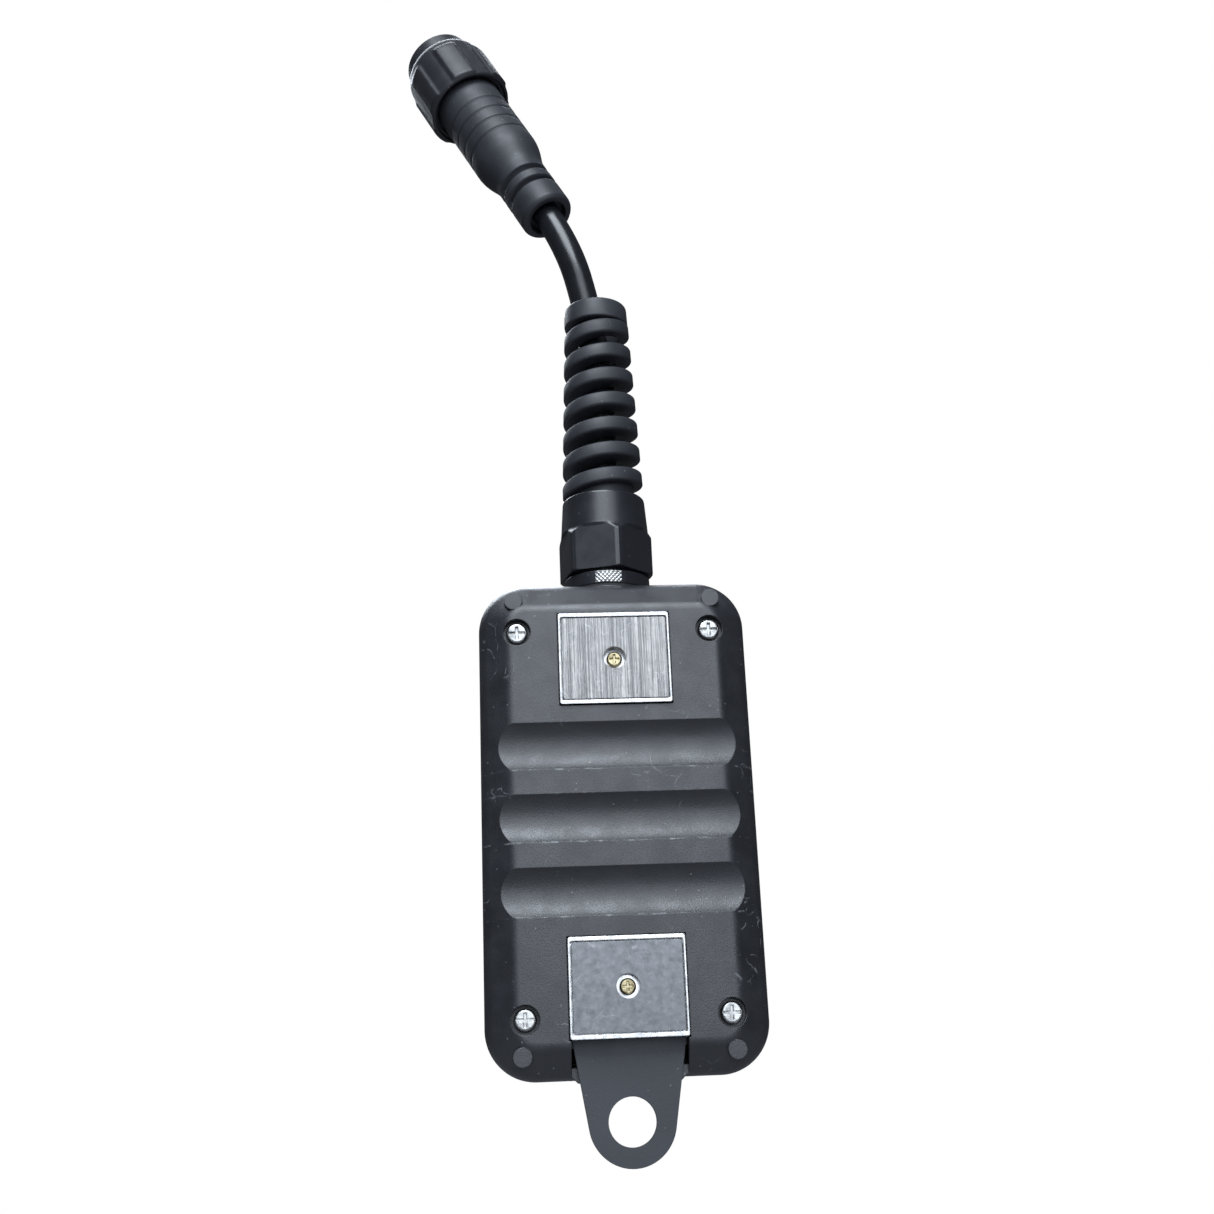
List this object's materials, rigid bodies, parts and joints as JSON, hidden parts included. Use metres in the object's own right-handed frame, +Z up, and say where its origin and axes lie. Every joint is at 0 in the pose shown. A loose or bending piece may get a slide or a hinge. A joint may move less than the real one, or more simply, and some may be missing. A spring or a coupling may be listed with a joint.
{
  "type": "pendant control station",
  "caption": "Hand-held push-button pendant with a magnet-backed grooved case, hang tab, gland with spiral bend guard and a short cable to an inline plug.",
  "frame": {"origin": "centre of the upper magnet's holding face, on the back of the case", "axes": "+Z up along the case towards the cable gland, +Y out of the back, out of the magnets' faces, -Y out of the button side, +X to the right seen from the buttons"},
  "size_m": [0.0944, 0.0578, 0.3573],
  "materials": {
    "case_plastic": "moulded ABS, finely textured, scuffed",
    "cover_plastic": "moulded ABS, finely textured",
    "gasket_rubber": "soft black rubber",
    "zinc_screw": "bright zinc plate",
    "brass_insert": "turned brass",
    "magnet_cup_steel": "bright nickel plate",
    "upper_magnet_face": "ground along the case",
    "lower_magnet_face": "dull nickel, scratched",
    "yellow_zinc_screw": "yellow zinc plate",
    "tab_rubber": "matte synthetic rubber",
    "gland_nylon": "moulded nylon, satin",
    "guard_nylon": "moulded flexible nylon",
    "cable_sheath": "smooth polyurethane sheath",
    "core_insulation": "coloured core insulation",
    "plug_rubber": "moulded thermoplastic rubber",
    "plug_plastic": "glass-filled nylon",
    "coupling_plastic": "glass-filled nylon",
    "gold_contact": "gold plate",
    "bezel_plastic": "satin black",
    "contact_block_plastic": "filled polyamide",
    "stop_yellow": "smooth",
    "stop_red": "smooth",
    "plunger_plastic": "natural acetal",
    "spring_steel": "bright wire",
    "button_white": "satin",
    "button_green": "satin",
    "button_black": "satin",
    "green_lens": "clear coloured plastic",
    "red_lens": "clear coloured plastic",
    "led_resin": "clear resin",
    "board_laminate": "solder-masked laminate"
  },
  "bodies": {
    "handset": {"rear_shell": "case_plastic", "front_cover": "cover_plastic", "case_gasket": "gasket_rubber", "button_seals": "gasket_rubber", "gland_seal_ring": "gasket_rubber", "gland_seal": "gasket_rubber", "plug_seal": "gasket_rubber", "case_screws": "zinc_screw", "board_screws": "zinc_screw", "cover_inserts": "brass_insert", "upper_magnet_insert": "brass_insert", "lower_magnet_insert": "brass_insert", "board_spacers": "brass_insert", "upper_magnet_cup": "magnet_cup_steel", "lower_magnet_cup": "magnet_cup_steel", "upper_magnet": "upper_magnet_face", "lower_magnet": "lower_magnet_face", "upper_magnet_screw": "yellow_zinc_screw", "lower_magnet_screw": "yellow_zinc_screw", "hang_tab": "tab_rubber", "gland_body": "gland_nylon", "gland_locknut": "gland_nylon", "gland_claw": "gland_nylon", "gland_cap_nut": "gland_nylon", "bend_guard": "guard_nylon", "cable": "cable_sheath", "cable_tail": "cable_sheath", "cable_cores": "core_insulation", "plug_boot": "plug_rubber", "plug_shell": "plug_plastic", "contact_insert": "plug_plastic", "contact_pins": "gold_contact", "button_bezels": "bezel_plastic", "button_nuts": "bezel_plastic", "stop_body": "bezel_plastic", "stop_nut": "bezel_plastic", "contact_blocks": "contact_block_plastic", "stop_contact_block": "contact_block_plastic", "terminal_block": "contact_block_plastic", "stop_plate": "stop_yellow", "stop_spring": "spring_steel", "raise_spring": "spring_steel", "lower_spring": "spring_steel", "left_spring": "spring_steel", "right_spring": "spring_steel", "forward_spring": "spring_steel", "reverse_spring": "spring_steel", "power_lamp_lens": "green_lens", "fault_lamp_lens": "red_lens", "lamp_leds": "led_resin", "circuit_board": "board_laminate"},
    "raise_button": {"raise_button": "button_green"},
    "lower_button": {"lower_button": "button_black"},
    "left_button": {"left_button": "button_white"},
    "right_button": {"right_button": "button_white"},
    "forward_button": {"forward_button": "button_white"},
    "reverse_button": {"reverse_button": "button_white"},
    "stop_plunger": {"stop_plunger": "plunger_plastic"},
    "stop_head": {"stop_head": "stop_red"},
    "coupling_nut": {"coupling_nut": "coupling_plastic"}
  },
  "joints": [
    {"name": "raise_press", "type": "slide", "parent": "handset", "child": "raise_button", "axis": [0, 1, 0], "range_m": [0, 0.003], "stiffness_N_per_m": 400, "springref_m": -0.001, "deforming": ["raise_spring"]},
    {"name": "lower_press", "type": "slide", "parent": "handset", "child": "lower_button", "axis": [0, 1, 0], "range_m": [0, 0.003], "stiffness_N_per_m": 400, "springref_m": -0.001, "deforming": ["lower_spring"]},
    {"name": "left_press", "type": "slide", "parent": "handset", "child": "left_button", "axis": [0, 1, 0], "range_m": [0, 0.003], "stiffness_N_per_m": 400, "springref_m": -0.001, "deforming": ["left_spring"]},
    {"name": "right_press", "type": "slide", "parent": "handset", "child": "right_button", "axis": [0, 1, 0], "range_m": [0, 0.003], "stiffness_N_per_m": 400, "springref_m": -0.001, "deforming": ["right_spring"]},
    {"name": "forward_press", "type": "slide", "parent": "handset", "child": "forward_button", "axis": [0, 1, 0], "range_m": [0, 0.003], "stiffness_N_per_m": 400, "springref_m": -0.001, "deforming": ["forward_spring"]},
    {"name": "reverse_press", "type": "slide", "parent": "handset", "child": "reverse_button", "axis": [0, 1, 0], "range_m": [0, 0.003], "stiffness_N_per_m": 400, "springref_m": -0.001, "deforming": ["reverse_spring"]},
    {"name": "stop_press", "type": "slide", "parent": "handset", "child": "stop_plunger", "axis": [0, 1, 0], "range_m": [0, 0.004], "stiffness_N_per_m": 1500, "springref_m": -0.0015, "deforming": ["stop_spring"]},
    {"name": "stop_twist", "type": "hinge", "parent": "stop_plunger", "child": "stop_head", "pos_m": [0, -0.0398, -0.0085], "axis": [0, -1, 0], "range_deg": [-30, 0], "stiffness_Nm_per_rad": 0.05},
    {"name": "coupling_turn", "type": "hinge", "parent": "handset", "child": "coupling_nut", "pos_m": [0.0132, -0.0232, 0.1485], "axis": [0.4062, -0.2756, 0.8712], "continuous": true}
  ]
}
